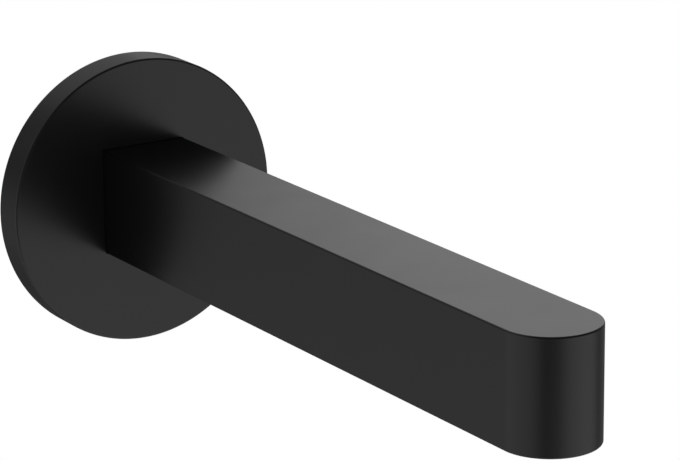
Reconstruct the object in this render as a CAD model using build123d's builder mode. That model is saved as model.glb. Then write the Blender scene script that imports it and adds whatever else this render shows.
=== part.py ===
"""Bath spout for a wall: a round escutcheon, a rectangular bar with a half-round nose, the
threaded nipple that it plugs onto, and the aerator in the underside of the nose.

The origin is the centre of the escutcheon's wall face. +Y runs into the wall and +Z up, and
the spout reaches out along -Y. A station is a distance from the wall, measured along -Y, so
Plane.XZ.offset(station) is the section there and a positive extrusion runs towards the nose.
"""

import os
from math import hypot, isclose, sqrt

from build123d import *

# Escutcheon, the round cover plate
escutcheon_diameter = 70.0
escutcheon_depth = 8.3
escutcheon_face_wall = 1.5
escutcheon_rim_wall = 1.6
escutcheon_edge_radius = 0.5
window_clearance = 0.15  # between the plate's window and the bar

# Insert behind the plate, which grips the bar, and the gasket that it carries
insert_clearance = 0.2  # to the plate's rim
insert_web = 1.5
insert_wall = 1.5
insert_setback = 1.2  # its rim stops this short of the wall
grip_clearance = 0.05  # between its window and the bar
grip_wall = 2.0
rib_count = 12
rib_height = 2.0
rib_thickness = 1.2
gasket_width = 4.0
gasket_clearance = 0.2

# Spout body, a hollow bar
body_width = 22.2
body_height = 25.7
body_rise = 1.2  # the bar's middle stands this far above the pipe's axis
body_projection = 184.5  # wall to nose tip
body_setback = 2.0  # wall to the bar's rear end
body_wall = 3.0
body_edge_radius = 0.4
waterway_corner_radius = 3.0

# Connection nipple: a G 1/2 thread into the wall and a plain stem inside the bar
thread_diameter = 20.955
thread_reach = 14.0  # behind the wall face
thread_chamfer = 1.0
shoulder_gap = 0.8  # between the thread's shoulder and the bar's rear end
stem_diameter = 17.4
stem_clearance = 0.05
stem_reach = 33.0  # wall to the stem's front end
stem_end_gap = 0.3
stem_chamfer = 0.6
socket_chamfer = 1.0
nipple_bore_diameter = 9.0
hex_socket_width = 10.0  # across flats
hex_socket_depth = 6.0

# O-rings as they are squeezed between the stem and the socket
o_ring_section = 1.65
o_ring_width = 2.3
o_ring_corner_radius = 0.7
o_ring_groove_width = 2.6
o_ring_rear_station = 19.5
o_ring_pitch = 4.8

# Retaining screw, M5, from below into a groove of the stem
screw_diameter = 5.0
screw_clearance = 0.05
screw_station = 14.0
screw_recess = 0.15
screw_groove_depth = 2.2
screw_groove_width = 6.0
screw_hex_width = 2.5
screw_hex_depth = 2.4
screw_chamfer = 0.4

# Aerator, M18.5x1, and its seat in the nose
aerator_diameter = 18.5
aerator_clearance = 0.05
aerator_recess = 0.3  # its lower end lies this far inside the bar
aerator_wall = 1.6
lip_width = 0.7
lip_height = 0.6
key_notch_count = 6
key_notch_width = 2.4
key_notch_depth = 1.6
outlet_chamfer = 0.4
outlet_port_diameter = 14.0
outlet_seat_thickness = 2.5
cartridge_clearance = 0.1  # between the housing and what it holds
seal_thickness = 1.4
seal_overhang = 0.3  # the seal's hole is this much wider than the port, at each side
grid_rim = 0.6
outlet_grid_height = 2.6
outlet_cell_width = 1.7
outlet_cell_wall = 0.4
upper_grid_height = 1.2
upper_cell_width = 1.1
upper_cell_wall = 0.3
diffuser_height = 3.2
diffuser_plate = 1.2
diffuser_skirt = 0.8
jet_diameter = 0.9
jet_count = 18
strainer_flange = 1.2
strainer_height = 2.75  # above its flange
strainer_wall = 0.8
strainer_clearance = 0.6  # between its cup and the port
strainer_hole_diameter = 0.8
strainer_hole_wall = 0.45
strainer_slot_count = 16

# Places worked out from the sizes above
escutcheon_radius = escutcheon_diameter / 2
hollow_radius = escutcheon_radius - escutcheon_rim_wall
hollow_depth = escutcheon_depth - escutcheon_face_wall
body_bottom = body_rise - body_height / 2
body_top = body_rise + body_height / 2
nose_radius = body_width / 2
nose_station = body_projection - nose_radius  # the nose's and the outlet's axis
shoulder_station = body_setback - shoulder_gap
stem_radius = stem_diameter / 2
socket_radius = stem_radius + stem_clearance
socket_end = stem_reach + stem_end_gap
o_ring_floor = socket_radius - o_ring_section
screw_floor = stem_radius - screw_groove_depth
screw_start = body_bottom + screw_recess
screw_length = -screw_floor - screw_start

# The aerator's levels, from its lower end up
housing_bottom = body_bottom + aerator_recess
outlet_grid_level = housing_bottom + lip_height
upper_grid_level = outlet_grid_level + outlet_grid_height
diffuser_level = upper_grid_level + upper_grid_height
strainer_level = diffuser_level + diffuser_height
seal_level = strainer_level + strainer_flange
seat_level = seal_level + seal_thickness
chamber_floor = seat_level + outlet_seat_thickness
outlet_radius = aerator_diameter / 2
housing_radius = outlet_radius - aerator_clearance
cartridge_bore = housing_radius - aerator_wall
cartridge_radius = cartridge_bore - cartridge_clearance
port_radius = outlet_port_diameter / 2


def across_wall(radius, start, end, mode=Mode.ADD):
    """A round stretch about the pipe's axis, between two stations."""
    with BuildSketch(Plane.XZ.offset(start)) as section:
        Circle(radius)
    extrude(section.sketch, amount=end - start, mode=mode)


def upright(radius, start, end, mode=Mode.ADD):
    """A round stretch about the outlet's axis, between two heights."""
    with BuildSketch(Plane.XY.offset(start)) as section:
        with Locations((0, -nose_station)):
            Circle(radius)
    extrude(section.sketch, amount=end - start, mode=mode)


def bar_window(clearance, corner_radius, start, end, mode):
    """A rectangle round the bar's section, between two stations."""
    with BuildSketch(Plane.XZ.offset(start)) as section:
        with Locations((0, body_rise)):
            RectangleRounded(body_width + 2 * clearance, body_height + 2 * clearance, corner_radius)
    extrude(section.sketch, amount=end - start, mode=mode)


def stem_groove(floor_radius, station, width):
    """A square groove round the nipple's stem."""
    with BuildSketch(Plane.XZ.offset(station - width / 2)) as section:
        Circle(stem_radius + stem_clearance)
        Circle(floor_radius, mode=Mode.SUBTRACT)
    extrude(section.sketch, amount=width, mode=Mode.SUBTRACT)


def pattern_centres(pitch, reach):
    """The points of a hexagonal pattern that lie within reach of its middle."""
    rows = int(reach / pitch) + 1
    centres = []
    for row in range(-2 * rows, 2 * rows + 1):
        for column in range(-2 * rows, 2 * rows + 1):
            x = pitch * (column + row / 2)
            y = pitch * row * sqrt(3) / 2
            if hypot(x, y) <= reach:
                centres.append((x, y - nose_station))
    return centres


def honeycomb(cell_width, cell_wall, start, height):
    """Six-sided holes through a disc of the aerator."""
    reach = cartridge_radius - grid_rim - cell_width / sqrt(3)
    with BuildSketch(Plane.XY.offset(start)) as cells:
        with Locations(*pattern_centres(cell_width + cell_wall, reach)):
            RegularPolygon(cell_width / 2, 6, major_radius=False, rotation=30)
    extrude(cells.sketch, amount=height, mode=Mode.SUBTRACT)


def full_circles(part, radius):
    """The circular edges of a part that have this radius."""
    circles = part.edges().filter_by(GeomType.CIRCLE)
    return circles.filter_by(lambda edge: isclose(edge.radius, radius, abs_tol=1e-4))


with BuildPart() as spout_body:
    with BuildSketch(Plane.XY.offset(body_bottom)):
        with Locations((0, -(body_setback + nose_station) / 2)):
            Rectangle(body_width, nose_station - body_setback)
        with Locations((0, -nose_station)):
            Circle(nose_radius)
    extrude(amount=body_height)
    fillet(spout_body.faces().filter_by(Axis.Z).edges(), body_edge_radius)
    # Socket for the nipple's stem
    across_wall(socket_radius, body_setback, socket_end, mode=Mode.SUBTRACT)
    chamfer(full_circles(spout_body, socket_radius).sort_by(Axis.Y)[-1], socket_chamfer)
    # Waterway, as far as the wall behind the aerator
    waterway_width = body_width - 2 * body_wall
    waterway_end = nose_station - outlet_radius - body_wall
    with BuildSketch(Plane.XZ.offset(socket_end)):
        with Locations((0, body_rise)):
            RectangleRounded(waterway_width, body_height - 2 * body_wall, waterway_corner_radius)
    extrude(amount=waterway_end - socket_end, mode=Mode.SUBTRACT)
    # Chamber over the aerator, with the port down to it and the seat round the port
    with BuildSketch(Plane.XY.offset(chamber_floor)):
        with Locations((0, -(waterway_end + nose_station) / 2)):
            Rectangle(waterway_width, nose_station - waterway_end)
        with Locations((0, -nose_station)):
            Circle(waterway_width / 2)
    extrude(amount=body_top - body_wall - chamber_floor, mode=Mode.SUBTRACT)
    upright(port_radius, seat_level, chamber_floor, mode=Mode.SUBTRACT)
    upright(outlet_radius, body_bottom, seat_level, mode=Mode.SUBTRACT)
    chamfer(full_circles(spout_body, outlet_radius).sort_by(Axis.Z)[0], outlet_chamfer)
    # Tapped hole for the retaining screw
    with BuildSketch(Plane.XY.offset(body_bottom)):
        with Locations((0, -screw_station)):
            Circle(screw_diameter / 2)
    extrude(amount=-body_bottom, mode=Mode.SUBTRACT)
spout_body.part.label = "spout_body"

with BuildPart() as escutcheon:
    across_wall(escutcheon_radius, 0, escutcheon_depth)
    fillet(full_circles(escutcheon, escutcheon_radius).sort_by(Axis.Y)[0], escutcheon_edge_radius)
    across_wall(hollow_radius, 0, hollow_depth, mode=Mode.SUBTRACT)
    window_corner = body_edge_radius + window_clearance
    bar_window(window_clearance, window_corner, 0, escutcheon_depth, mode=Mode.SUBTRACT)
escutcheon.part.label = "escutcheon"

# The insert is a web with an outer rim, a sleeve that grips the bar and ribs between them
web_station = hollow_depth - insert_web
insert_radius = hollow_radius - insert_clearance
gasket_radius = insert_radius - insert_wall - gasket_clearance
gasket_inner_radius = gasket_radius - gasket_width
rib_ring_radius = gasket_inner_radius - gasket_clearance
rib_station = web_station - rib_height
grip_corner = body_edge_radius + grip_clearance
with BuildPart() as escutcheon_insert:
    across_wall(insert_radius, insert_setback, hollow_depth)
    across_wall(insert_radius - insert_wall, insert_setback, web_station, mode=Mode.SUBTRACT)
    across_wall(rib_ring_radius, rib_station, web_station)
    across_wall(rib_ring_radius - insert_wall, rib_station, web_station, mode=Mode.SUBTRACT)
    with BuildSketch(Plane.XZ.offset(rib_station)):
        with PolarLocations(rib_ring_radius / 2, rib_count):
            Rectangle(rib_ring_radius, rib_thickness)
    extrude(amount=rib_height)
    bar_window(grip_clearance + grip_wall, grip_corner + grip_wall, body_setback, hollow_depth, Mode.ADD)
    bar_window(grip_clearance, grip_corner, 0, hollow_depth, Mode.SUBTRACT)
escutcheon_insert.part.label = "escutcheon_insert"

with BuildPart() as escutcheon_gasket:
    across_wall(gasket_radius, 0, web_station)
    across_wall(gasket_inner_radius, 0, web_station, mode=Mode.SUBTRACT)
escutcheon_gasket.part.label = "escutcheon_gasket"

o_ring_stations = {
    "o_ring_rear": o_ring_rear_station,
    "o_ring_front": o_ring_rear_station + o_ring_pitch,
}
with BuildPart() as connection_nipple:
    across_wall(thread_diameter / 2, -thread_reach, shoulder_station)
    chamfer(full_circles(connection_nipple, thread_diameter / 2).sort_by(Axis.Y)[-1], thread_chamfer)
    across_wall(stem_radius, shoulder_station, stem_reach)
    chamfer(full_circles(connection_nipple, stem_radius).sort_by(Axis.Y)[0], stem_chamfer)
    for ring_station in o_ring_stations.values():
        stem_groove(o_ring_floor, ring_station, o_ring_groove_width)
    stem_groove(screw_floor, screw_station, screw_groove_width)
    across_wall(nipple_bore_diameter / 2, -thread_reach, stem_reach, mode=Mode.SUBTRACT)
    with BuildSketch(Plane.XZ.offset(stem_reach - hex_socket_depth)):
        RegularPolygon(hex_socket_width / 2, 6, major_radius=False)
    extrude(amount=hex_socket_depth, mode=Mode.SUBTRACT)
connection_nipple.part.label = "connection_nipple"

# Each O-ring fills the space between its groove's floor and the socket
o_rings = []
for ring_name, ring_station in o_ring_stations.items():
    with BuildPart() as o_ring:
        with BuildSketch(Plane.XY):
            with Locations((o_ring_floor + o_ring_section / 2, -ring_station)):
                RectangleRounded(o_ring_section, o_ring_width, o_ring_corner_radius)
        revolve(axis=Axis.Y)
    o_ring.part.label = ring_name
    o_rings.append(o_ring)

with BuildPart() as retaining_screw:
    with BuildSketch(Plane.XY.offset(screw_start)):
        with Locations((0, -screw_station)):
            Circle(screw_diameter / 2 - screw_clearance)
    extrude(amount=screw_length)
    chamfer(retaining_screw.edges().filter_by(GeomType.CIRCLE), screw_chamfer)
    with BuildSketch(Plane.XY.offset(screw_start)):
        with Locations((0, -screw_station)):
            RegularPolygon(screw_hex_width / 2, 6, major_radius=False)
    extrude(amount=screw_hex_depth, mode=Mode.SUBTRACT)
retaining_screw.part.label = "retaining_screw"

with BuildPart() as aerator_housing:
    upright(housing_radius, housing_bottom, seal_level)
    upright(cartridge_bore - lip_width, housing_bottom, outlet_grid_level, mode=Mode.SUBTRACT)
    upright(cartridge_bore, outlet_grid_level, seal_level, mode=Mode.SUBTRACT)
    # Notches round the lower rim, for the key that screws the aerator in
    with BuildSketch(Plane.XY.offset(housing_bottom)):
        with Locations((0, -nose_station)):
            with PolarLocations(housing_radius, key_notch_count):
                Rectangle(aerator_wall, key_notch_width)
    extrude(amount=key_notch_depth, mode=Mode.SUBTRACT)
aerator_housing.part.label = "aerator_housing"

with BuildPart() as aerator_outlet_grid:
    upright(cartridge_radius, outlet_grid_level, upper_grid_level)
    honeycomb(outlet_cell_width, outlet_cell_wall, outlet_grid_level, outlet_grid_height)
aerator_outlet_grid.part.label = "aerator_outlet_grid"

with BuildPart() as aerator_upper_grid:
    upright(cartridge_radius, upper_grid_level, diffuser_level)
    honeycomb(upper_cell_width, upper_cell_wall, upper_grid_level, upper_grid_height)
aerator_upper_grid.part.label = "aerator_upper_grid"

with BuildPart() as aerator_diffuser:
    skirt_radius = cartridge_radius - diffuser_skirt
    upright(cartridge_radius, diffuser_level, strainer_level)
    upright(skirt_radius, diffuser_level, strainer_level - diffuser_plate, mode=Mode.SUBTRACT)
    with BuildSketch(Plane.XY.offset(strainer_level - diffuser_plate)):
        with Locations((0, -nose_station)):
            with PolarLocations(skirt_radius - jet_diameter, jet_count):
                Circle(jet_diameter / 2)
    extrude(amount=diffuser_plate, mode=Mode.SUBTRACT)
aerator_diffuser.part.label = "aerator_diffuser"

with BuildPart() as aerator_strainer:
    cup_radius = port_radius - strainer_clearance
    cup_bore = cup_radius - strainer_wall
    cup_top = seal_level + strainer_height
    upright(cartridge_radius, strainer_level, seal_level)
    upright(cup_radius, seal_level, cup_top)
    upright(cup_bore, strainer_level, cup_top - strainer_wall, mode=Mode.SUBTRACT)
    with BuildSketch(Plane.XY.offset(cup_top - strainer_wall)):
        strainer_pitch = strainer_hole_diameter + strainer_hole_wall
        with Locations(*pattern_centres(strainer_pitch, cup_bore - strainer_hole_diameter)):
            Circle(strainer_hole_diameter / 2)
    extrude(amount=strainer_wall, mode=Mode.SUBTRACT)
    # Slots through the cup's side, between its flange and its top
    with BuildSketch(Plane.XY.offset(seal_level + strainer_wall / 2)):
        with Locations((0, -nose_station)):
            with PolarLocations(cup_radius - strainer_wall / 2, strainer_slot_count):
                Rectangle(2 * strainer_wall, strainer_hole_diameter)
    extrude(amount=strainer_height - 2 * strainer_wall, mode=Mode.SUBTRACT)
aerator_strainer.part.label = "aerator_strainer"

with BuildPart() as aerator_seal:
    upright(housing_radius, seal_level, seat_level)
    upright(port_radius + seal_overhang, seal_level, seat_level, mode=Mode.SUBTRACT)
aerator_seal.part.label = "aerator_seal"

pieces = [
    spout_body,
    escutcheon,
    escutcheon_insert,
    escutcheon_gasket,
    connection_nipple,
    *o_rings,
    retaining_screw,
    aerator_housing,
    aerator_outlet_grid,
    aerator_upper_grid,
    aerator_diffuser,
    aerator_strainer,
    aerator_seal,
]

os.makedirs("parts", exist_ok=True)
for piece in pieces:
    export_step(piece.part, f"parts/{piece.part.label}.step")
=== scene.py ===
import math

import bmesh
import bpy
from mathutils import Matrix, Vector


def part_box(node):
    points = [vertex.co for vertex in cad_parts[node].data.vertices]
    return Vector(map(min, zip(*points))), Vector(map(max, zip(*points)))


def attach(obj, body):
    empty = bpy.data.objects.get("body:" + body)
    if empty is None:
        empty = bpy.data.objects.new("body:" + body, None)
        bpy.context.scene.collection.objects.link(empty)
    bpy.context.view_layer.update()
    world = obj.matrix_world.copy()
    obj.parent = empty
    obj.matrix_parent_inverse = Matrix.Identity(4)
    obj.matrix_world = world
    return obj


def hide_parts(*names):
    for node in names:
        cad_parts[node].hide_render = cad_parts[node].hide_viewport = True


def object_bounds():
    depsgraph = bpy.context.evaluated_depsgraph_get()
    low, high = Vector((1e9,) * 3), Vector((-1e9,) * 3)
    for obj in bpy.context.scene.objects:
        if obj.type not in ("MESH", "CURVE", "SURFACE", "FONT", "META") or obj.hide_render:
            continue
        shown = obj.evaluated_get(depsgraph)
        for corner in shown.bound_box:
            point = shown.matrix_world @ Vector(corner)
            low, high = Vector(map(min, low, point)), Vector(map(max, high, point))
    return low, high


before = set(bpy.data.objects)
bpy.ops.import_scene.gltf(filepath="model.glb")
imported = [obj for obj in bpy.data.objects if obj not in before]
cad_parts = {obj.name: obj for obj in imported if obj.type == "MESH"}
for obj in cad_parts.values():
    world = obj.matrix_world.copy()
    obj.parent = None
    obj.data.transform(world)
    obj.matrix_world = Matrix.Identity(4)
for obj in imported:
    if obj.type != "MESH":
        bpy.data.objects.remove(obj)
cadLow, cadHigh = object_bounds()
mm = 0.001
over = 1 * mm  # how far a cutter reaches past the surface that it cuts
hair = 0.01 * mm  # a small overlap, so that two cuts meet
tiny = 0.001 * mm  # points this close are one
smoothAngle = math.radians(32)
quarterTurn = math.radians(90)
print("frame loaded:", len(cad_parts), "nodes")


# Helpers for meshes
def newObject(name, mesh):
    piece = bpy.data.objects.new(name, mesh)
    bpy.context.scene.collection.objects.link(piece)
    return piece


def objectFromBmesh(name, shape):
    mesh = bpy.data.meshes.new(name)
    bmesh.ops.recalc_face_normals(shape, faces=shape.faces)
    shape.to_mesh(mesh)
    shape.free()
    return newObject(name, mesh)


def applied(piece):
    # the evaluated mesh takes the place of the mesh and its modifiers
    depsgraph = bpy.context.evaluated_depsgraph_get()
    mesh = bpy.data.meshes.new_from_object(piece.evaluated_get(depsgraph))
    piece.modifiers.clear()
    piece.data = mesh
    return piece


def combine(piece, other, operation):
    boolean = piece.modifiers.new("combine", "BOOLEAN")
    boolean.operation = operation
    boolean.solver = "EXACT"
    boolean.object = other
    applied(piece)
    bpy.data.objects.remove(other)
    return piece


def cutAway(piece, cutter):
    return combine(piece, cutter, "DIFFERENCE")


def prism(name, outline, start, end, axis="Z"):
    # a closed block: the outline runs round the axis, and start and end are places along it
    shape = bmesh.new()
    rings = []
    for level in (start, end):
        places = [(a, b, level) if axis == "Z" else (a, level, b) for a, b in outline]
        rings.append([shape.verts.new(place) for place in places])
    count = len(outline)
    for i in range(count):
        j = (i + 1) % count
        shape.faces.new((rings[0][i], rings[0][j], rings[1][j], rings[1][i]))
    shape.faces.new(rings[0])
    shape.faces.new(rings[1])
    return objectFromBmesh(name, shape)


def softened(corners, steps=5):
    # rounds the corners of a closed outline, given as (across, along, radius)
    points = []
    count = len(corners)
    for i, (across, along, radius) in enumerate(corners):
        corner = Vector((across, along))
        if radius == 0:
            points.append(corner)
            continue
        before = (Vector(corners[i - 1][:2]) - corner).normalized()
        after = (Vector(corners[(i + 1) % count][:2]) - corner).normalized()
        half = before.angle(after) / 2
        centre = corner + (before + after).normalized() * (radius / math.sin(half))
        first = corner + before * (radius / math.tan(half)) - centre
        last = corner + after * (radius / math.tan(half)) - centre
        start = math.atan2(first.y, first.x)
        turn = (math.atan2(last.y, last.x) - start + math.pi) % (2 * math.pi) - math.pi
        for k in range(steps + 1):
            angle = start + turn * k / steps
            points.append(centre + Vector((math.cos(angle), math.sin(angle))) * radius)
    return points


def roundedRectangle(width, height, radius, middle=(0.0, 0.0), steps=8):
    corners = []
    for sideX, sideY in ((1, 1), (-1, 1), (-1, -1), (1, -1)):
        corners.append((middle[0] + sideX * width / 2, middle[1] + sideY * height / 2, radius))
    return softened(corners, steps)


def turned(name, profile, segments, axis="Y", middle=(0.0, 0.0)):
    # a lathe form: the profile is a closed loop of (radius, place along the axis)
    shape = bmesh.new()
    rings = []
    for i in range(segments):
        angle = 2 * math.pi * i / segments
        ring = []
        for radius, along in profile:
            a = middle[0] + radius * math.cos(angle)
            b = middle[1] + radius * math.sin(angle)
            ring.append(shape.verts.new((a, along, b) if axis == "Y" else (a, b, along)))
        rings.append(ring)
    count = len(profile)
    for i in range(segments):
        here, there = rings[i], rings[(i + 1) % segments]
        for k in range(count):
            m = (k + 1) % count
            if max(profile[k][0], profile[m][0]) > 0:  # none along the axis itself
                shape.faces.new((here[k], here[m], there[m], there[k]))
    bmesh.ops.remove_doubles(shape, verts=shape.verts, dist=tiny)
    return objectFromBmesh(name, shape)


def hexCorner(across):
    # from the middle of a hexagon to its corners, from the width across its flats
    return across / 2 / math.cos(math.pi / 6)


def hexKey(mouth, across, depth, chamfer, point=0.0):
    # a six-sided cutter along +Y from its chamfered mouth, with a floor that may run to a point
    corner = hexCorner(across)
    profile = [(0, mouth - over), (corner + chamfer + over, mouth - over), (corner, mouth + chamfer)]
    profile += [(corner, mouth + depth), (0, mouth + depth + point * corner)]
    return turned("key", profile, 6)


def finishPiece(piece, node, material):
    # smooth where the form is round, flat where it is flat
    mesh = piece.data
    mesh.materials.clear()
    mesh.materials.append(material)
    mesh.polygons.foreach_set("material_index", [0] * len(mesh.polygons))
    mesh.shade_smooth()
    mesh.set_sharp_from_angle(angle=smoothAngle)
    weighted = piece.modifiers.new("flatFaces", "WEIGHTED_NORMAL")
    weighted.keep_sharp = True
    weighted.weight = 90  # the large faces lead
    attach(piece, "root")
    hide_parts(node)
    return piece


def carriedOver(name, node, material):
    # a merged copy of the CAD node, so that its round faces shade smoothly
    piece = newObject(name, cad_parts[node].data.copy())
    shape = bmesh.new()
    shape.from_mesh(piece.data)
    bmesh.ops.remove_doubles(shape, verts=shape.verts, dist=tiny)
    shape.to_mesh(piece.data)
    shape.free()
    return finishPiece(piece, node, material)


# Helpers for node trees
def addNode(tree, kind, **settings):
    made = tree.nodes.new(kind)
    for name, value in settings.items():
        setattr(made, name, value)
    return made


def feed(tree, socket, value):
    # a socket is linked, and anything else becomes the value
    if isinstance(value, bpy.types.NodeSocket):
        tree.links.new(value, socket)
    else:
        socket.default_value = value


def maths(tree, operation, *values):
    made = addNode(tree, "ShaderNodeMath", operation=operation)
    for socket, value in zip(made.inputs, values):
        feed(tree, socket, value)
    return made.outputs[0]


def mapped(tree, value, fromRange, toRange, kind="SMOOTHSTEP"):
    made = addNode(tree, "ShaderNodeMapRange", interpolation_type=kind)
    for socket, number in zip(made.inputs, (value, *fromRange, *toRange)):
        feed(tree, socket, number)
    return made.outputs[0]


def aroundY(tree, vector):
    # the distance from the Y axis, and the three parts of the vector
    place = addNode(tree, "ShaderNodeSeparateXYZ")
    tree.links.new(vector, place.inputs[0])
    x, y, z = place.outputs
    squares = maths(tree, "ADD", maths(tree, "MULTIPLY", x, x), maths(tree, "MULTIPLY", z, z))
    return maths(tree, "SQRT", squares), x, y, z


def newTree(name, kind, inputs, outputs):
    tree = bpy.data.node_groups.new(name, kind)
    for label, socketType in inputs.items():
        tree.interface.new_socket(label, in_out="INPUT", socket_type=socketType)
    for label, socketType in outputs.items():
        tree.interface.new_socket(label, in_out="OUTPUT", socket_type=socketType)
    return tree, addNode(tree, "NodeGroupInput"), addNode(tree, "NodeGroupOutput")


def closeGeometry(tree, geometry, material, result):
    real = addNode(tree, "GeometryNodeRealizeInstances")
    painted = addNode(tree, "GeometryNodeSetMaterial")
    tree.links.new(geometry, real.inputs["Geometry"])
    tree.links.new(real.outputs["Geometry"], painted.inputs["Geometry"])
    tree.links.new(material, painted.inputs["Material"])
    tree.links.new(painted.outputs["Geometry"], result.inputs[0])


def grown(piece, tree, values):
    # runs a geometry tree with these inputs, and keeps the result as a plain mesh
    modifier = piece.modifiers.new(tree.name, "NODES")
    modifier.node_group = tree
    for item in tree.interface.items_tree:
        if item.in_out == "INPUT" and item.name in values:
            modifier[item.identifier] = values[item.name]
    return applied(piece)


threadFlank = (0.1, 0.92)  # where the flank starts and ends, on the way from crest to root


def makeThreadTree():
    # cuts a screw thread into a lathe form whose axis is Y, from Start towards +Y
    tree, given, result = newTree(
        "screwThread",
        "GeometryNodeTree",
        {
            "Geometry": "NodeSocketGeometry",
            "Pitch": "NodeSocketFloat",
            "Depth": "NodeSocketFloat",
            "Crest Radius": "NodeSocketFloat",
            "Start": "NodeSocketFloat",
            "Run Out": "NodeSocketFloat",
            "Material": "NodeSocketMaterial",
        },
        {"Geometry": "NodeSocketGeometry"},
    )
    radius, x, y, z = aroundY(tree, addNode(tree, "GeometryNodeInputPosition").outputs[0])
    turns = maths(tree, "DIVIDE", maths(tree, "ARCTAN2", z, x), 2 * math.pi)
    along = maths(tree, "DIVIDE", y, given.outputs["Pitch"])
    phase = maths(tree, "FRACT", maths(tree, "SUBTRACT", along, turns))
    fromCrest = maths(tree, "ABSOLUTE", maths(tree, "MULTIPLY_ADD", phase, 2.0, -1.0))
    flank = mapped(tree, fromCrest, threadFlank, (0.0, 1.0), "SMOOTHERSTEP")
    inside = maths(tree, "SUBTRACT", y, given.outputs["Start"])
    fade = mapped(tree, inside, (0.0, given.outputs["Run Out"]), (0.0, 1.0))
    drop = maths(tree, "MULTIPLY", maths(tree, "MULTIPLY", flank, fade), given.outputs["Depth"])
    cutRadius = maths(tree, "SUBTRACT", given.outputs["Crest Radius"], drop)
    newRadius = maths(tree, "MINIMUM", radius, cutRadius)
    factor = maths(tree, "DIVIDE", newRadius, maths(tree, "MAXIMUM", radius, tiny))
    moved = addNode(tree, "ShaderNodeCombineXYZ")
    feed(tree, moved.inputs["X"], maths(tree, "MULTIPLY", x, factor))
    feed(tree, moved.inputs["Y"], y)
    feed(tree, moved.inputs["Z"], maths(tree, "MULTIPLY", z, factor))
    root = maths(tree, "SUBTRACT", given.outputs["Crest Radius"], given.outputs["Depth"])
    outer = maths(tree, "GREATER_THAN", radius, maths(tree, "SUBTRACT", root, hair))
    chosen = maths(tree, "MULTIPLY", outer, maths(tree, "GREATER_THAN", inside, 0.0))
    shift = addNode(tree, "GeometryNodeSetPosition")
    tree.links.new(given.outputs["Geometry"], shift.inputs["Geometry"])
    tree.links.new(chosen, shift.inputs["Selection"])
    tree.links.new(moved.outputs[0], shift.inputs["Position"])
    closeGeometry(tree, shift.outputs["Geometry"], given.outputs["Material"], result)
    return tree


def makeRingTree():
    # copies of a shape at even steps round the Z axis
    tree, given, result = newTree(
        "ringOfCopies",
        "GeometryNodeTree",
        {
            "Shape": "NodeSocketObject",
            "Count": "NodeSocketInt",
            "Radius": "NodeSocketFloat",
            "Material": "NodeSocketMaterial",
        },
        {"Geometry": "NodeSocketGeometry"},
    )
    ring = addNode(tree, "GeometryNodeMeshCircle")
    tree.links.new(given.outputs["Count"], ring.inputs["Vertices"])
    tree.links.new(given.outputs["Radius"], ring.inputs["Radius"])
    place = addNode(tree, "ShaderNodeSeparateXYZ")
    tree.links.new(addNode(tree, "GeometryNodeInputPosition").outputs[0], place.inputs[0])
    facing = addNode(tree, "ShaderNodeCombineXYZ")
    feed(tree, facing.inputs["Z"], maths(tree, "ARCTAN2", place.outputs["Y"], place.outputs["X"]))
    turn = addNode(tree, "FunctionNodeEulerToRotation")
    tree.links.new(facing.outputs[0], turn.inputs[0])
    shape = addNode(tree, "GeometryNodeObjectInfo")
    tree.links.new(given.outputs["Shape"], shape.inputs["Object"])
    copies = addNode(tree, "GeometryNodeInstanceOnPoints")
    tree.links.new(ring.outputs["Mesh"], copies.inputs["Points"])
    tree.links.new(shape.outputs["Geometry"], copies.inputs["Instance"])
    tree.links.new(turn.outputs[0], copies.inputs["Rotation"])
    closeGeometry(tree, copies.outputs["Instances"], given.outputs["Material"], result)
    return tree


def makeHoneycombTree():
    # copies of a cell in a hexagonal pattern, within reach of the Z axis
    tree, given, result = newTree(
        "honeycomb",
        "GeometryNodeTree",
        {
            "Cell": "NodeSocketObject",
            "Pitch": "NodeSocketFloat",
            "Reach": "NodeSocketFloat",
            "Rows": "NodeSocketInt",
            "Material": "NodeSocketMaterial",
        },
        {"Geometry": "NodeSocketGeometry"},
    )
    count = maths(tree, "MULTIPLY_ADD", given.outputs["Rows"], 2.0, 1.0)
    width = maths(tree, "MULTIPLY", maths(tree, "SUBTRACT", count, 1.0), given.outputs["Pitch"])
    field = addNode(tree, "GeometryNodeMeshGrid")
    for label in ("Size X", "Size Y"):
        tree.links.new(width, field.inputs[label])
    for label in ("Vertices X", "Vertices Y"):
        tree.links.new(count, field.inputs[label])
    place = addNode(tree, "ShaderNodeSeparateXYZ")
    tree.links.new(addNode(tree, "GeometryNodeInputPosition").outputs[0], place.inputs[0])
    slanted = addNode(tree, "ShaderNodeCombineXYZ")
    across = maths(tree, "MULTIPLY_ADD", place.outputs["Y"], 0.5, place.outputs["X"])
    feed(tree, slanted.inputs["X"], across)
    feed(tree, slanted.inputs["Y"], maths(tree, "MULTIPLY", place.outputs["Y"], math.sqrt(3) / 2))
    shift = addNode(tree, "GeometryNodeSetPosition")
    tree.links.new(field.outputs["Mesh"], shift.inputs["Geometry"])
    tree.links.new(slanted.outputs[0], shift.inputs["Position"])
    distance = addNode(tree, "ShaderNodeVectorMath", operation="LENGTH")
    tree.links.new(addNode(tree, "GeometryNodeInputPosition").outputs[0], distance.inputs[0])
    tooFar = maths(tree, "GREATER_THAN", distance.outputs["Value"], given.outputs["Reach"])
    trimmed = addNode(tree, "GeometryNodeDeleteGeometry", domain="POINT")
    tree.links.new(shift.outputs["Geometry"], trimmed.inputs["Geometry"])
    tree.links.new(tooFar, trimmed.inputs["Selection"])
    cell = addNode(tree, "GeometryNodeObjectInfo")
    tree.links.new(given.outputs["Cell"], cell.inputs["Object"])
    copies = addNode(tree, "GeometryNodeInstanceOnPoints")
    tree.links.new(trimmed.outputs["Geometry"], copies.inputs["Points"])
    tree.links.new(cell.outputs["Geometry"], copies.inputs["Instance"])
    closeGeometry(tree, copies.outputs["Instances"], given.outputs["Material"], result)
    return tree


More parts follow.
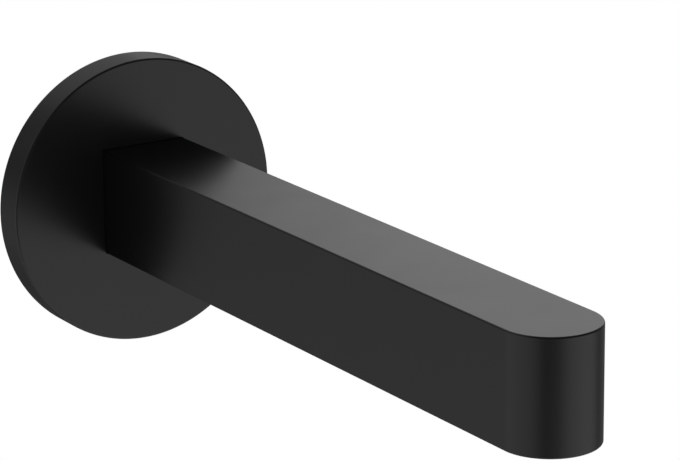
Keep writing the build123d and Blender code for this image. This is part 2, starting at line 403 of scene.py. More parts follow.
threadTree = makeThreadTree()
ringTree = makeRingTree()
honeycombTree = makeHoneycombTree()
print("geometry trees made")


# Shader groups that several finishes share, with the octaves of their noises
grain = {"heightDetail": 3.0, "cloudDetail": 2.0}
lathe = {"onEndFaces": 1.3, "toneStep": 0.12, "detail": 2.0}  # rings lie closer on an end face


def makeGrainGroup():
    # the fine skin of a coating or a moulding: Height for the bump, Cloud for slow changes
    tree, given, result = newTree(
        "fineGrain",
        "ShaderNodeTree",
        {"Vector": "NodeSocketVector", "Grain Size": "NodeSocketFloat", "Cloud Size": "NodeSocketFloat"},
        {"Height": "NodeSocketFloat", "Cloud": "NodeSocketFloat"},
    )
    parts = (("Height", "Grain Size", "heightDetail"), ("Cloud", "Cloud Size", "cloudDetail"))
    for output, size, detail in parts:
        noise = addNode(tree, "ShaderNodeTexNoise")
        noise.inputs["Detail"].default_value = grain[detail]
        tree.links.new(given.outputs["Vector"], noise.inputs["Vector"])
        feed(tree, noise.inputs["Scale"], maths(tree, "DIVIDE", 1.0, given.outputs[size]))
        tree.links.new(noise.outputs[0], result.inputs[output])
    return tree


def makeLatheGroup():
    # the fine rings that a turning tool leaves round the Y axis
    tree, given, result = newTree(
        "latheRings",
        "ShaderNodeTree",
        {"Vector": "NodeSocketVector", "Spacing": "NodeSocketFloat"},
        {"Height": "NodeSocketFloat", "Tone": "NodeSocketFloat"},
    )
    radius, x, y, z = aroundY(tree, given.outputs["Vector"])
    along = maths(tree, "MULTIPLY_ADD", radius, lathe["onEndFaces"], y)
    rings = maths(tree, "DIVIDE", along, given.outputs["Spacing"])
    for output, step in (("Height", 1.0), ("Tone", lathe["toneStep"])):
        noise = addNode(tree, "ShaderNodeTexNoise", noise_dimensions="1D")
        noise.inputs["Scale"].default_value = 1.0
        noise.inputs["Detail"].default_value = lathe["detail"]
        feed(tree, noise.inputs["W"], maths(tree, "MULTIPLY", rings, step))
        tree.links.new(noise.outputs[0], result.inputs[output])
    return tree


grainGroup = makeGrainGroup()
latheGroup = makeLatheGroup()

# Each finish: its color, the range of its roughness, and the grain or the rings on its skin
coating = {
    "color": (0.0022, 0.0025, 0.0028),
    "roughness": (0.275, 0.289),  # below 0.274 the denoiser draws the clouds as lines
    "grainSize": 0.3 * mm,
    "grainDepth": 0.008 * mm,
    "cloudSize": 14 * mm,
    "shade": 0.97,  # of the color, where it is darkest
}
blackMoulding = {
    "color": (0.018, 0.018, 0.019),
    "roughness": (0.4, 0.52),
    "grainSize": 0.22 * mm,
    "grainDepth": 0.012 * mm,
    "cloudSize": 6 * mm,
    "shade": 0.82,
}
greyMoulding = {
    "color": (0.3, 0.31, 0.32),
    "roughness": (0.32, 0.42),
    "grainSize": 0.3 * mm,
    "grainDepth": 0.004 * mm,
    "cloudSize": 4 * mm,
    "shade": 0.82,
}
paleMoulding = {
    "color": (0.62, 0.63, 0.62),
    "roughness": (0.34, 0.44),
    "grainSize": 0.3 * mm,
    "grainDepth": 0.004 * mm,
    "cloudSize": 4 * mm,
    "shade": 0.82,
}
rubber = {
    "color": (0.016, 0.016, 0.017),
    "roughness": (0.62, 0.76),
    "grainSize": 0.12 * mm,
    "grainDepth": 0.01 * mm,
    "cloudSize": 5 * mm,
    "shade": 0.82,
}
brass = {
    "dark": (0.77, 0.57, 0.27),
    "color": (0.9, 0.71, 0.37),
    "roughness": (0.2, 0.34),
    "spacing": 0.09 * mm,
    "depth": 0.003 * mm,
}
steel = {
    "dark": (0.44, 0.44, 0.43),
    "color": (0.56, 0.56, 0.55),
    "roughness": (0.22, 0.34),
    "spacing": 0.06 * mm,
    "depth": 0.002 * mm,
}


def newMaterial(name):
    material = bpy.data.materials.new(name)
    material.use_nodes = True
    tree = material.node_tree
    return material, tree, tree.nodes["Principled BSDF"], addNode(tree, "ShaderNodeTexCoord")


def placeGroup(tree, group, vector, values):
    made = addNode(tree, "ShaderNodeGroup", node_tree=group)
    tree.links.new(vector, made.inputs["Vector"])
    for label, value in values.items():
        made.inputs[label].default_value = value
    return made


def bumped(tree, shader, height, depth):
    bump = addNode(tree, "ShaderNodeBump")
    bump.inputs["Distance"].default_value = depth
    tree.links.new(height, bump.inputs["Height"])
    tree.links.new(bump.outputs["Normal"], shader.inputs["Normal"])


cloudRange = (0.3, 0.7)
sheenRange = (0.25, 0.75)
toneRange = (0.2, 0.8)


def skinned(name, finish):
    # a coat, moulding or rubber: its color sinks to its shade where its cloud is dark
    material, tree, shader, coordinates = newMaterial(name)
    sizes = {"Grain Size": finish["grainSize"], "Cloud Size": finish["cloudSize"]}
    skin = placeGroup(tree, grainGroup, coordinates.outputs["Object"], sizes)
    cloud = skin.outputs["Cloud"]
    feed(tree, shader.inputs["Roughness"], mapped(tree, cloud, cloudRange, finish["roughness"]))
    tint = addNode(tree, "ShaderNodeMix", data_type="RGBA")
    tree.links.new(mapped(tree, cloud, cloudRange, (0.0, 1.0)), tint.inputs["Factor"])
    tint.inputs["A"].default_value = (*[part * finish["shade"] for part in finish["color"]], 1.0)
    tint.inputs["B"].default_value = (*finish["color"], 1.0)
    tree.links.new(tint.outputs["Result"], shader.inputs["Base Color"])
    bumped(tree, shader, skin.outputs["Height"], finish["grainDepth"])
    return material


def machined(name, finish, middle=(0.0, 0.0, 0.0), turn=(0.0, 0.0, 0.0)):
    # turned metal: rings round the Y axis, which the mapping lays on the piece's own axis
    material, tree, shader, coordinates = newMaterial(name)
    shader.inputs["Metallic"].default_value = 1.0
    mapping = addNode(tree, "ShaderNodeMapping", vector_type="TEXTURE")
    mapping.inputs["Location"].default_value = middle
    mapping.inputs["Rotation"].default_value = turn
    tree.links.new(coordinates.outputs["Object"], mapping.inputs["Vector"])
    rings = placeGroup(tree, latheGroup, mapping.outputs["Vector"], {"Spacing": finish["spacing"]})
    tone = rings.outputs["Tone"]
    feed(tree, shader.inputs["Roughness"], mapped(tree, tone, sheenRange, finish["roughness"]))
    tint = addNode(tree, "ShaderNodeMix", data_type="RGBA")
    tree.links.new(mapped(tree, tone, toneRange, (0.0, 1.0)), tint.inputs["Factor"])
    tint.inputs["A"].default_value = (*finish["dark"], 1.0)
    tint.inputs["B"].default_value = (*finish["color"], 1.0)
    tree.links.new(tint.outputs["Result"], shader.inputs["Base Color"])
    bumped(tree, shader, rings.outputs["Height"], finish["depth"])
    return material


# The bar
barLow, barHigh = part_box("spout_body")
outletLow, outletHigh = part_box("aerator_housing")
screwLow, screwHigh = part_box("retaining_screw")
bar = {
    "edgeRadius": 0.4 * mm,
    "edgeSteps": 5,
    "noseSteps": 96,
    "wall": 3.0 * mm,
    "waterwayCorner": 3.0 * mm,
    "socketRadius": 8.75 * mm,
    "socketReach": 33.3 * mm,  # from the wall
    "socketChamfer": 1.0 * mm,
    "outletRadius": 9.25 * mm,
    "outletChamfer": 0.4 * mm,
    "portRadius": 7.0 * mm,
    "seatThickness": 2.5 * mm,
    "screwHoleRadius": 2.5 * mm,
    "screwHoleChamfer": 0.25 * mm,
    "boreSegments": 128,
}
outletMiddle = ((outletLow.x + outletHigh.x) / 2, (outletLow.y + outletHigh.y) / 2)
screwMiddle = ((screwLow.x + screwHigh.x) / 2, (screwLow.y + screwHigh.y) / 2)
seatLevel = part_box("aerator_seal")[1].z
blackCoating = skinned("blackCoating", coating)


def noseArc(radius, middleY):
    # the half round of the nose in plan
    points = []
    for i in range(bar["noseSteps"] + 1):
        angle = math.pi * (1 + i / bar["noseSteps"])
        points.append((radius * math.cos(angle), middleY + radius * math.sin(angle)))
    return points


def barOutline(inset):
    # plan of the bar, drawn in by the inset: rear end, one side, the half-round nose, the other side
    half, rear = barHigh.x - inset, barHigh.y - inset
    return [(half, rear), (-half, rear), *noseArc(half, barLow.y + barHigh.x)]


def makeBar():
    radius = bar["edgeRadius"]
    levels = []
    for i in range(bar["edgeSteps"] + 1):
        angle = math.pi / 2 * i / bar["edgeSteps"]
        levels.append((radius * (1 - math.sin(angle)), barLow.z + radius * (1 - math.cos(angle))))
    for inset, z in reversed(levels[:]):
        levels.append((inset, barLow.z + barHigh.z - z))
    shape = bmesh.new()
    rings = []
    for inset, z in levels:
        rings.append([shape.verts.new((x, y, z)) for x, y in barOutline(inset)])
    count = len(rings[0])
    for lower, upper in zip(rings, rings[1:]):
        for i in range(count):
            j = (i + 1) % count
            shape.faces.new((lower[i], lower[j], upper[j], upper[i]))
    shape.faces.new(rings[0])
    shape.faces.new(rings[-1])
    return objectFromBmesh("spoutBar", shape)


def bore(radius, bottom, top, chamfer, middle):
    # an upright cutter, open at the bar's underside, with a chamfered mouth
    profile = [(0, bottom - over), (radius + chamfer + over, bottom - over)]
    profile += [(radius, bottom + chamfer), (radius, top), (0, top)]
    return turned("bore", profile, bar["boreSegments"], "Z", middle)


def hollowOut(piece):
    radius, chamfer = bar["socketRadius"], bar["socketChamfer"]
    reach = -bar["socketReach"]
    mouth = barHigh.y
    socket = [(0, mouth + over), (radius + chamfer + over, mouth + over), (radius, mouth - chamfer)]
    socket += [(radius, reach - hair), (0, reach - hair)]
    cutAway(piece, turned("socket", socket, bar["boreSegments"]))
    # the waterway, then the chamber over the aerator with its port
    width = barHigh.x - barLow.x - 2 * bar["wall"]
    height = barHigh.z - barLow.z - 2 * bar["wall"]
    middle = (0.0, (barLow.z + barHigh.z) / 2)
    waterwayEnd = outletMiddle[1] + bar["outletRadius"] + bar["wall"]
    channel = roundedRectangle(width, height, bar["waterwayCorner"], middle)
    cutAway(piece, prism("waterway", channel, waterwayEnd, reach, axis="Y"))
    chamberFloor = seatLevel + bar["seatThickness"]
    half, rear = width / 2, waterwayEnd + hair
    plan = [(half, rear), (-half, rear), *noseArc(half, outletMiddle[1])]
    cutAway(piece, prism("chamber", plan, chamberFloor, barHigh.z - bar["wall"]))
    port = [(0, barLow.z), (bar["portRadius"], barLow.z)]
    port += [(bar["portRadius"], chamberFloor + hair), (0, chamberFloor + hair)]
    cutAway(piece, turned("port", port, bar["boreSegments"], "Z", outletMiddle))
    outlet = bore(bar["outletRadius"], barLow.z, seatLevel, bar["outletChamfer"], outletMiddle)
    cutAway(piece, outlet)
    hole = bore(bar["screwHoleRadius"], barLow.z, 0.0, bar["screwHoleChamfer"], screwMiddle)
    cutAway(piece, hole)


spoutBar = makeBar()
hollowOut(spoutBar)
finishPiece(spoutBar, "spout_body", blackCoating)
print("bar made:", len(spoutBar.data.polygons), "faces")

# The escutcheon
plateLow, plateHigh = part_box("escutcheon")
plate = {
    "edgeRadius": 0.5 * mm,
    "rimWall": 1.6 * mm,
    "faceWall": 1.5 * mm,
    "wallEdge": 0.2 * mm,
    "windowClearance": 0.15 * mm,
    "segments": 256,
}


def barWindow(name, clearance, corner, start, end):
    # a block round the bar's section, between two places along Y
    width = barHigh.x - barLow.x + 2 * clearance
    height = barHigh.z - barLow.z + 2 * clearance
    middle = (0.0, (barLow.z + barHigh.z) / 2)
    return prism(name, roundedRectangle(width, height, corner, middle), start, end, axis="Y")


def makePlate():
    radius, front = plateHigh.x, plateLow.y
    inner = radius - plate["rimWall"]
    back = front + plate["faceWall"]
    wallEdge = plate["wallEdge"]
    profile = softened([
        (0.0, front, 0),
        (radius, front, plate["edgeRadius"]),
        (radius, 0.0, wallEdge),
        (inner, 0.0, wallEdge),
        (inner, back, plate["edgeRadius"]),
        (0.0, back, 0),
    ], steps=8)
    piece = turned("escutcheonPlate", profile, plate["segments"])
    corner = bar["edgeRadius"] + plate["windowClearance"]
    cutAway(piece, barWindow("window", plate["windowClearance"], corner, 2 * front, -front))
    return piece


finishPiece(makePlate(), "escutcheon", blackCoating)
print("escutcheon made")

# The insert behind the escutcheon, and its gasket
insertLow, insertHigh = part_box("escutcheon_insert")
gasketLow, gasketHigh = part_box("escutcheon_gasket")
insert = {
    "wall": 1.5 * mm,
    "web": 1.5 * mm,
    "edge": 0.25 * mm,
    "gripWall": 2.0 * mm,
    "gripClearance": 0.05 * mm,
    "ribCount": 12,
    "ribHeight": 2.0 * mm,
    "ribThickness": 1.2 * mm,
    "ribStart": 6.0 * mm,
    "ribSink": 0.05 * mm,  # into the web and the ring
    "sleeveSetback": 0.2 * mm,
    "rimToWall": 1.2 * mm,
    "gasketGap": 0.2 * mm,
    "gasketWidth": 4.0 * mm,
    "gasketEdge": 0.6 * mm,
    "segments": 192,
}
blackPlastic = skinned("blackMoulding", blackMoulding)
sealRubber = skinned("sealRubber", rubber)


def makeInsert():
    radius, front = insertHigh.x, insertLow.y
    webBack = front + insert["web"]
    rimBack = -insert["rimToWall"]
    wall, edge = insert["wall"], insert["edge"]
    ringOuter = gasketHigh.x - insert["gasketWidth"] - insert["gasketGap"]
    ringBack = webBack + insert["ribHeight"]
    profile = softened([
        (0.0, front, 0),
        (radius, front, edge),
        (radius, rimBack, edge),
        (radius - wall, rimBack, edge),
        (radius - wall, webBack, edge),
        (ringOuter, webBack, edge),
        (ringOuter, ringBack, edge),
        (ringOuter - wall, ringBack, edge),
        (ringOuter - wall, webBack, edge),
        (0.0, webBack, 0),
    ])
    piece = turned("escutcheonInsert", profile, insert["segments"])
    # ribs from the sleeve to the ring: they start in the window, which is cut last
    halfThick, sink = insert["ribThickness"] / 2, insert["ribSink"]
    outline = softened([
        (-halfThick, -sink, 0),
        (halfThick, -sink, 0),
        (halfThick, insert["ribHeight"] - sink, edge),
        (-halfThick, insert["ribHeight"] - sink, edge),
    ], steps=3)
    rib = prism("rib", outline, 0.0, ringOuter - wall - insert["ribStart"] + sink, axis="Y")
    rib.data.transform(Matrix.Rotation(-quarterTurn, 4, "Z"))
    ribs = newObject("ribs", bpy.data.meshes.new("ribs"))
    settings = {
        "Shape": rib,
        "Count": insert["ribCount"],
        "Radius": insert["ribStart"],
        "Material": blackPlastic,
    }
    grown(ribs, ringTree, settings)
    bpy.data.objects.remove(rib)
    ribs.data.transform(Matrix.Translation((0, webBack, 0)) @ Matrix.Rotation(-quarterTurn, 4, "X"))
    combine(piece, ribs, "UNION")
    grip = insert["gripClearance"] + insert["gripWall"]
    sleeveCorner = bar["edgeRadius"] + grip
    sleeve = barWindow("sleeve", grip, sleeveCorner, front + insert["sleeveSetback"], barHigh.y)
    combine(piece, sleeve, "UNION")
    corner = bar["edgeRadius"] + insert["gripClearance"]
    cutAway(piece, barWindow("grip", insert["gripClearance"], corner, 2 * front, -front))
    return piece


def makeGasket():
    outer, inner = gasketHigh.x, gasketHigh.x - insert["gasketWidth"]
    edge = insert["gasketEdge"]
    profile = softened([
        (outer, gasketLow.y, edge),
        (outer, gasketHigh.y, edge),
        (inner, gasketHigh.y, edge),
        (inner, gasketLow.y, edge),
    ])
    return turned("wallGasket", profile, insert["segments"])


finishPiece(makeInsert(), "escutcheon_insert", blackPlastic)
finishPiece(makeGasket(), "escutcheon_gasket", sealRubber)
print("insert and gasket made")

# The connection nipple, with its thread for the wall's pipe
nippleLow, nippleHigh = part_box("connection_nipple")
nipple = {
    "shoulder": -1.2 * mm,
    "threadStart": 0.6 * mm,
    "threadPitch": 1.814 * mm,
    "threadDepth": 1.162 * mm,
    "threadRunOut": 1.6 * mm,
    "threadChamfer": 1.0 * mm,
    "ringsPerPitch": 14,
    "stemRadius": 8.7 * mm,
    "stemChamfer": 0.6 * mm,
    "boreRadius": 4.5 * mm,
    "edge": 0.15 * mm,
    "hexWidth": 10.0 * mm,
    "hexDepth": 6.0 * mm,
    "hexChamfer": 0.2 * mm,
    "screwGroove": {"middle": -14.0 * mm, "width": 6.0 * mm, "radius": 6.5 * mm},
    "ringGrooves": ("o_ring_rear", "o_ring_front"),
    "grooveWidth": 2.6 * mm,
    "segments": 144,
}
ringSection = {"width": 1.65 * mm, "corner": 0.7 * mm, "segments": 128}  # of the squeezed O-rings
turnedBrass = machined("turnedBrass", brass)


def grooveCorners(middle, width, radius):
    # four corners of a groove in the stem, from the wall's side to the nose's side
    edge, stem = nipple["edge"], nipple["stemRadius"]
    near, far = middle + width / 2, middle - width / 2
    return [(stem, near, edge), (radius, near, edge), (radius, far, edge), (stem, far, edge)]


def makeNipple():
    crest, stem, edge = nippleHigh.x, nipple["stemRadius"], nipple["edge"]
    tip, end = nippleHigh.y, nippleLow.y
    chamfer = nipple["threadChamfer"]
    profile = [(nipple["boreRadius"], tip, edge), (crest - chamfer, tip, 0)]
    # many rings along the thread, for the tree to shape
    step = nipple["threadPitch"] / nipple["ringsPerPitch"]
    rings = int((tip - nipple["threadStart"]) / step)
    for i in range(1, rings):
        place = tip - i * step
        profile.append((min(crest, crest - chamfer + (tip - place)), place, 0))
    profile += [(crest, nipple["threadStart"], 0), (crest, nipple["shoulder"], 2 * edge)]
    profile.append((stem, nipple["shoulder"], edge))
    groove = nipple["screwGroove"]
    profile += grooveCorners(groove["middle"], groove["width"], groove["radius"])
    for node in nipple["ringGrooves"]:
        low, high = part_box(node)
        floor = (high.x - low.x) / 2 - ringSection["width"]
        profile += grooveCorners((low.y + high.y) / 2, nipple["grooveWidth"], floor)
    profile += [(stem, end + nipple["stemChamfer"], 0), (stem - nipple["stemChamfer"], end, 0)]
    profile.append((nipple["boreRadius"], end, 0))
    piece = turned("connectionNipple", softened(profile, steps=3), nipple["segments"])
    settings = {
        "Pitch": nipple["threadPitch"],
        "Depth": nipple["threadDepth"],
        "Crest Radius": crest,
        "Start": nipple["threadStart"],
        "Run Out": nipple["threadRunOut"],
        "Material": turnedBrass,
    }
    grown(piece, threadTree, settings)
    # the hex socket in the stem's end, as deep as a key reaches
    return cutAway(piece, hexKey(end, nipple["hexWidth"], nipple["hexDepth"], nipple["hexChamfer"]))


nippleBrass = finishPiece(makeNipple(), "connection_nipple", turnedBrass)
print("nipple made:", len(nippleBrass.data.polygons), "faces")


# The O-rings, squeezed between the stem and its socket
def makeSealRing(name, node):
    low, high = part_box(node)
    outer = high.x
    middle = (outer - ringSection["width"] / 2, (low.y + high.y) / 2)
    outline = roundedRectangle(ringSection["width"], high.y - low.y, ringSection["corner"], middle)
    return turned(name, outline, ringSection["segments"])


for name, node in (("rearSealRing", "o_ring_rear"), ("frontSealRing", "o_ring_front")):
    finishPiece(makeSealRing(name, node), node, sealRubber)
print("seal rings made")

# The retaining screw, from below into the stem's groove
screw = {
    "pitch": 0.8 * mm,
    "threadDepth": 0.42 * mm,
    "threadRunOut": 0.1 * mm,
    "chamfer": 0.4 * mm,
    "ringsPerPitch": 12,
    "hexWidth": 2.5 * mm,
    "hexDepth": 2.4 * mm,
    "hexChamfer": 0.15 * mm,
    "hexPoint": 0.5,  # of the socket's radius
    "segments": 72,
}
screwSteel = machined("screwSteel", steel, (*screwMiddle, 0.0), (quarterTurn, 0.0, 0.0))


def makeScrew():
    crest = (screwHigh.x - screwLow.x) / 2
    length = screwHigh.z - screwLow.z
    chamfer = screw["chamfer"]
    # made along Y, its point at the far end, then stood up under the bar
    profile = [(0.0, 0.0), (crest - chamfer, 0.0)]
    step = screw["pitch"] / screw["ringsPerPitch"]
    for i in range(1, int(length / step)):
        place = i * step
        profile.append((min(crest, crest - chamfer + min(place, length - place)), place))
    profile += [(crest - chamfer, length), (0.0, length)]
    piece = turned("retainingScrew", profile, screw["segments"])
    settings = {
        "Pitch": screw["pitch"],
        "Depth": screw["threadDepth"],
        "Crest Radius": crest,
        "Start": -over,
        "Run Out": screw["threadRunOut"],
        "Material": screwSteel,
    }
    grown(piece, threadTree, settings)
    key = hexKey(0.0, screw["hexWidth"], screw["hexDepth"], screw["hexChamfer"], screw["hexPoint"])
    cutAway(piece, key)
    stand = Matrix.Translation((*screwMiddle, screwLow.z)) @ Matrix.Rotation(quarterTurn, 4, "X")
    piece.data.transform(stand)
    return piece


finishPiece(makeScrew(), "retaining_screw", screwSteel)
print("retaining screw made")

# The aerator in the underside of the nose
aerator = {
    "wall": 1.6 * mm,
    "lipWidth": 0.7 * mm,
    "lipHeight": 0.6 * mm,
    "edge": 0.15 * mm,
    "notchCount": 6,
    "notchWidth": 2.4 * mm,
    "notchDepth": 1.6 * mm,
    "outletCell": {"width": 1.7 * mm, "wall": 0.4 * mm, "chamfer": 0.09 * mm},
    "upperCell": {"width": 1.1 * mm, "wall": 0.3 * mm, "chamfer": 0.06 * mm},
    "sealOverhang": 0.3 * mm,  # of the port
    "sealEdge": 0.3 * mm,
    "gridRim": 0.6 * mm,
    "gridEdge": 0.12 * mm,
    "gridOver": 0.6,  # of a chamfer: small, so that neighbouring cutters stay apart
    "rows": 8,
    "segments": 160,
}
gridPlastic = skinned("greyMoulding", greyMoulding)
filterPlastic = skinned("paleMoulding", paleMoulding)


def makeHousing():
    outer = (outletHigh.x - outletLow.x) / 2
    inner = outer - aerator["wall"]
    bottom, top, edge = outletLow.z, outletHigh.z, aerator["edge"]
    lipTop = bottom + aerator["lipHeight"]
    profile = softened([
        (outer, bottom, 2 * edge),
        (outer, top, edge),
        (inner, top, edge),
        (inner, lipTop, 0),
        (inner - aerator["lipWidth"], lipTop, edge),
        (inner - aerator["lipWidth"], bottom, edge),
    ])
    piece = turned("aeratorHousing", profile, aerator["segments"], "Z", outletMiddle)
    # each notch goes halfway into the wall, and its cutter stands out past it
    half = aerator["notchWidth"] / 2
    inward, outward = -aerator["wall"] / 2, 2 * aerator["wall"]
    plan = [(inward, -half), (outward, -half), (outward, half), (inward, half)]
    tooth = prism("tooth", plan, bottom - over, bottom + aerator["notchDepth"])
    notches = newObject("notches", bpy.data.meshes.new("notches"))
    settings = {"Shape": tooth, "Count": aerator["notchCount"], "Radius": outer, "Material": blackPlastic}
    grown(notches, ringTree, settings)
    bpy.data.objects.remove(tooth)
    notches.data.transform(Matrix.Translation((*outletMiddle, 0)))
    cutAway(piece, notches)
    return piece


def makeGrid(name, node, cell, material):
    # a disc with six-sided holes, each a little wider at its mouths
    low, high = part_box(node)
    radius, height = (high.x - low.x) / 2, high.z - low.z
    edge = aerator["gridEdge"]
    profile = softened([(0.0, low.z, 0), (radius, low.z, edge), (radius, high.z, edge), (0.0, high.z, 0)])
    piece = turned(name, profile, aerator["segments"], "Z", outletMiddle)
    corner = hexCorner(cell["width"])
    chamfer = cell["chamfer"]
    past = aerator["gridOver"] * chamfer
    flare = corner + chamfer + past
    outline = [(0, -past), (flare, -past), (corner, chamfer)]
    outline += [(corner, height - chamfer), (flare, height + past), (0, height + past)]
    hole = turned("hole", outline, 6, "Z")
    hole.data.transform(Matrix.Rotation(quarterTurn / 3, 4, "Z"))  # flat sides face each other
    holes = newObject("holes", bpy.data.meshes.new("holes"))
    settings = {
        "Cell": hole,
        "Pitch": cell["width"] + cell["wall"],
        "Reach": radius - aerator["gridRim"] - corner,
        "Rows": aerator["rows"],
        "Material": material,
    }
    grown(holes, honeycombTree, settings)
    bpy.data.objects.remove(hole)
    holes.data.transform(Matrix.Translation((*outletMiddle, low.z)))
    cutAway(piece, holes)
    return piece


def makeFlatSeal():
    low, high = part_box("aerator_seal")
    outer, inner = (high.x - low.x) / 2, bar["portRadius"] + aerator["sealOverhang"]
    edge = aerator["sealEdge"]
    profile = softened([
        (outer, low.z, edge),
        (outer, high.z, edge),
        (inner, high.z, edge),
        (inner, low.z, edge),
    ])
    return turned("aeratorSeal", profile, aerator["segments"], "Z", outletMiddle)


finishPiece(makeHousing(), "aerator_housing", blackPlastic)
outletGrid = makeGrid("outletGrid", "aerator_outlet_grid", aerator["outletCell"], gridPlastic)
finishPiece(outletGrid, "aerator_outlet_grid", gridPlastic)
upperGrid = makeGrid("upperGrid", "aerator_upper_grid", aerator["upperCell"], filterPlastic)
finishPiece(upperGrid, "aerator_upper_grid", filterPlastic)
finishPiece(makeFlatSeal(), "aerator_seal", sealRubber)
for name, node in (("jetDiffuser", "aerator_diffuser"), ("inletStrainer", "aerator_strainer")):
    carriedOver(name, node, filterPlastic)
print("aerator made")

# The floor and the key lamp
room = {
    "floorLevel": -0.3,
    "floorRadius": 0.6,
    "floorSegments": 128,
    "fadeStart": 0.2,
    "floorColor": (0.92, 0.92, 0.92, 1.0),
}
keyLamp = {"place": (-0.5, -0.7, 1.1), "target": (0.0, -0.09, 0.0), "size": 0.7, "power": 6.0}


def makeFloor():
    bpy.ops.mesh.primitive_circle_add(
        vertices=room["floorSegments"],
        radius=room["floorRadius"],
        fill_type="NGON",
    )
    floor = bpy.context.object
    floor.name = "studioFloor"
    middle = (0.0, (cadLow.y + cadHigh.y) / 2, room["floorLevel"])
    floor.data.transform(Matrix.Translation(middle))
    material = bpy.data.materials.new("paleFloor")
    material.use_nodes = True
    tree = material.node_tree
    shader = tree.nodes["Principled BSDF"]
    shader.inputs["Base Color"].default_value = room["floorColor"]
    shader.inputs["Roughness"].default_value = 1.0
    shader.inputs["Specular IOR Level"].default_value = 0.0
    # its rim fades into the background
    coordinates = addNode(tree, "ShaderNodeTexCoord")
    reach = addNode(tree, "ShaderNodeVectorMath", operation="DISTANCE")
    tree.links.new(coordinates.outputs["Object"], reach.inputs[0])
    reach.inputs[1].default_value = middle
    rim = mapped(tree, reach.outputs["Value"], (room["fadeStart"], room["floorRadius"]), (0.0, 1.0))
    # from below, and in reflections, the floor gives way to the studio's light
    rays = addNode(tree, "ShaderNodeLightPath")
    geometry = addNode(tree, "ShaderNodeNewGeometry")
    unseen = maths(tree, "MAXIMUM", rays.outputs["Is Glossy Ray"], geometry.outputs["Backfacing"])
    unseen = maths(tree, "MAXIMUM", unseen, rim)
    clear = addNode(tree, "ShaderNodeBsdfTransparent")
    blend = addNode(tree, "ShaderNodeMixShader")
    tree.links.new(unseen, blend.inputs[0])
    tree.links.new(shader.outputs[0], blend.inputs[1])
    tree.links.new(clear.outputs[0], blend.inputs[2])
    output = tree.nodes["Material Output"]
    tree.links.new(blend.outputs[0], output.inputs["Surface"])
    floor.data.materials.append(material)


def makeKeyLamp():
    light = bpy.data.lights.new("keyLamp", "AREA")
    light.shape = "DISK"
    light.size = keyLamp["size"]
    light.energy = keyLamp["power"]
    lamp = newObject("keyLamp", light)
    aim = Vector(keyLamp["target"]) - Vector(keyLamp["place"])
    lamp.location = keyLamp["place"]
    lamp.rotation_euler = aim.to_track_quat("-Z", "Y").to_euler()
    lamp.visible_glossy = False


makeFloor()
makeKeyLamp()

# The camera, where the photo was taken from
photoCamera = {
    "azimuth": -32.607,
    "elevation": 16.582,
    "roll": -0.585,
    "target": (0.0, -60 * mm, 0.0),
    "distance": 752.96 * mm,
    "moveRight": 19.229 * mm,
    "moveUp": 4.872 * mm,
    "lens": 173.7,
    "sensor": 36.0,
    "clipStart": 10 * mm,
}


def makeCamera():
    azimuth = math.radians(photoCamera["azimuth"])
    elevation = math.radians(photoCamera["elevation"])
    roll = math.radians(photoCamera["roll"])
    back = Vector((
        math.sin(azimuth) * math.cos(elevation),
        -math.cos(azimuth) * math.cos(elevation),
        math.sin(elevation),
    ))
    level = Vector((math.cos(azimuth), math.sin(azimuth), 0.0))
    upright = back.cross(level)
    right = level * math.cos(roll) + upright * math.sin(roll)
    up = upright * math.cos(roll) - level * math.sin(roll)
    place = Vector(photoCamera["target"]) + back * photoCamera["distance"]
    place += right * photoCamera["moveRight"] + up * photoCamera["moveUp"]
    data = bpy.data.cameras.new("camera")
    data.lens = photoCamera["lens"]
    data.sensor_width = photoCamera["sensor"]
    data.clip_start = photoCamera["clipStart"]
    camera = newObject("camera", data)
    turn = Matrix((right, up, back)).transposed()
    camera.matrix_world = Matrix.Translation(place) @ turn.to_4x4()
    bpy.context.scene.camera = camera


makeCamera()

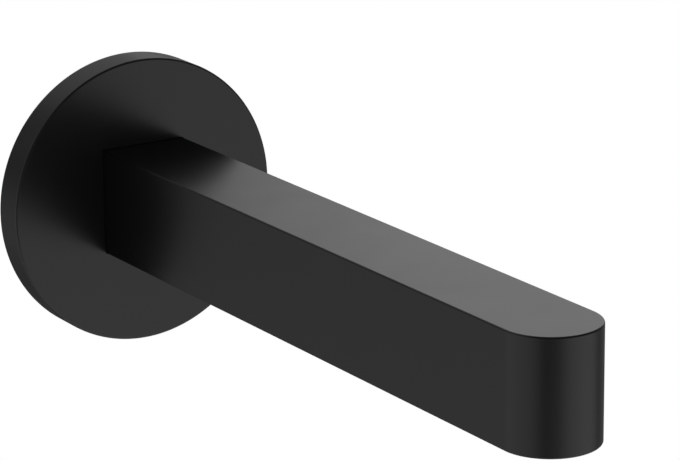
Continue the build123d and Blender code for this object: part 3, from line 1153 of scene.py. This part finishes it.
# The studio's soft light. Each softbox is a round patch of the surroundings: the compass angle
# and height of its middle, how far from there it is full and where it has faded out, and its strength
softboxes = {
    "front": {"azimuth": 32, "elevation": -44, "inner": 16, "outer": 58, "strength": 0.88},
    "frontFill": {"azimuth": -19, "elevation": -56, "inner": 12, "outer": 43, "strength": 0.78},
    "left": {"azimuth": -102, "elevation": -28, "inner": 8, "outer": 61, "strength": 0.56},
    "right": {"azimuth": 108, "elevation": -18, "inner": 10, "outer": 32, "strength": 0.1},
    "backRight": {"azimuth": 131, "elevation": 19.5, "inner": 18, "outer": 19.3, "strength": 0.92},
    "back": {"azimuth": 162, "elevation": 43, "inner": 8, "outer": 44, "strength": 0.31},
    "backLeft": {"azimuth": -122, "elevation": 28, "inner": 5, "outer": 37, "strength": 0.41},
}
# The other strengths: in reflections between the softboxes, on matt surfaces, and in the view itself
studio = {"reflectedBase": 0.083, "diffuse": 0.82, "background": 1.0}


def compass(azimuth, elevation):
    a, e = math.radians(azimuth), math.radians(elevation)
    return (math.sin(a) * math.cos(e), -math.cos(a) * math.cos(e), math.sin(e))


def makeWorld():
    world = bpy.data.worlds.new("studio")
    bpy.context.scene.world = world
    world.use_nodes = True
    tree = world.node_tree
    tree.nodes.clear()
    coordinates = addNode(tree, "ShaderNodeTexCoord")
    total = 0.0
    for name, box in softboxes.items():
        facing = addNode(tree, "ShaderNodeVectorMath", operation="DOT_PRODUCT", label=name)
        facing.inputs[1].default_value = compass(box["azimuth"], box["elevation"])
        tree.links.new(coordinates.outputs["Generated"], facing.inputs[0])
        edges = [math.cos(math.radians(box[edge])) for edge in ("outer", "inner")]
        fade = mapped(tree, facing.outputs["Value"], edges, (0.0, box["strength"]))
        total = maths(tree, "MAXIMUM", fade, total)
    reflected = maths(tree, "ADD", total, studio["reflectedBase"])
    rays = addNode(tree, "ShaderNodeLightPath")
    strength = reflected
    for ray, level in (("Is Diffuse Ray", "diffuse"), ("Is Camera Ray", "background")):
        choice = addNode(tree, "ShaderNodeMix")
        tree.links.new(rays.outputs[ray], choice.inputs["Factor"])
        tree.links.new(strength, choice.inputs["A"])
        choice.inputs["B"].default_value = studio[level]
        strength = choice.outputs[0]
    background = addNode(tree, "ShaderNodeBackground")
    background.inputs["Color"].default_value = (1.0, 1.0, 1.0, 1.0)
    tree.links.new(strength, background.inputs["Strength"])
    output = addNode(tree, "ShaderNodeOutputWorld")
    tree.links.new(background.outputs[0], output.inputs["Surface"])


makeWorld()
bpy.context.scene.view_settings.view_transform = "Standard"
print("camera and light made")
